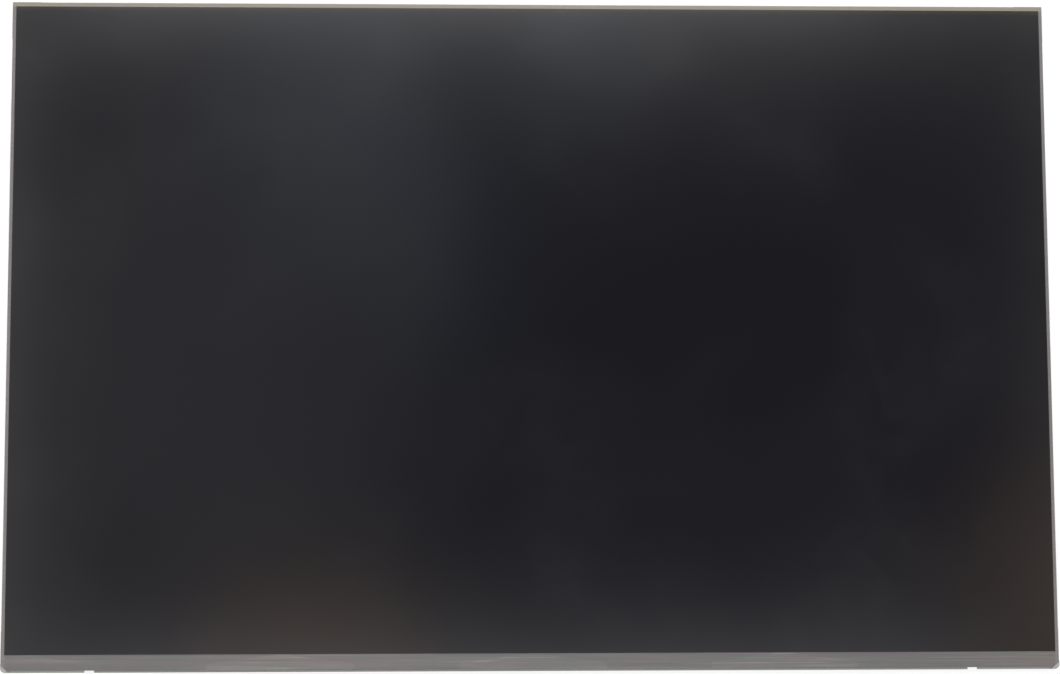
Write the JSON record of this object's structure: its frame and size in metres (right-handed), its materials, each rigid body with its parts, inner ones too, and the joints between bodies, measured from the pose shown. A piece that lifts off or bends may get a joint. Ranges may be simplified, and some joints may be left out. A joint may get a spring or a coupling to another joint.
{
  "type": "laptop lcd panel",
  "caption": "Flat laptop display module: dark matte screen in a thin glass rim with a grey ledge along its lower edge, on a metal-backed backlight with a narrow control board behind.",
  "frame": {"origin": "under the middle of the outline, in the plane of the circuit cover's rear", "axes": "+Z out of the display's face, +Y to the display's upper edge, +X to its right"},
  "size_m": [0.3064, 0.197, 0.0032],
  "materials": {
    "polarizer_film": "anti-glare, near black",
    "cell_glass": "bare glass over metal tracks, grey",
    "black_tape": "double-sided foam-free tape",
    "optical_sheet": "clear to white film",
    "light_guide": "clear moulded sheet",
    "white_reflector": "white film",
    "led_body": "white body with a yellow lens",
    "amber_film": "amber flexible circuit",
    "frame_plastic": "moulded, pale grey",
    "plate_metal": "rolled, satin",
    "silicon": "chip back",
    "grey_tape": "grey guard tape",
    "circuit_board": "green solder mask",
    "connector_plastic": "moulded, ivory",
    "connector_steel": "plated",
    "contact_gold": "gold flash",
    "chip_package": "moulded, black",
    "ferrite": "dark grey",
    "ceramic_chip": "tan with tinned ends",
    "clear_film": "clear film"
  },
  "bodies": {
    "root": {"back_plate": "plate_metal", "backlight_chip": "chip_package", "board_tape": "black_tape", "chip_capacitors": "ceramic_chip", "chip_resistors": "chip_package", "colour_filter_glass": "cell_glass", "control_board": "circuit_board", "cover_film": "clear_film", "diffuser_sheet": "optical_sheet", "edp_contacts": "contact_gold", "edp_housing": "connector_plastic", "edp_shell": "connector_steel", "front_polarizer": "polarizer_film", "gamma_chip": "chip_package", "guard_tape": "grey_tape", "led_chips": "led_body", "led_flex": "amber_film", "light_guide_plate": "light_guide", "lower_prism_sheet": "optical_sheet", "memory_chip": "chip_package", "mould_frame": "frame_plastic", "power_chip": "chip_package", "power_inductors": "ferrite", "rear_polarizer": "polarizer_film", "reflector_sheet": "white_reflector", "rim_tape": "black_tape", "source_chip_1": "silicon", "source_chip_2": "silicon", "source_chip_3": "silicon", "source_chip_4": "silicon", "source_film_1": "amber_film", "source_film_2": "amber_film", "source_film_3": "amber_film", "source_film_4": "amber_film", "tft_glass": "cell_glass", "timing_chip": "chip_package", "upper_prism_sheet": "optical_sheet"}
  },
  "joints": []
}
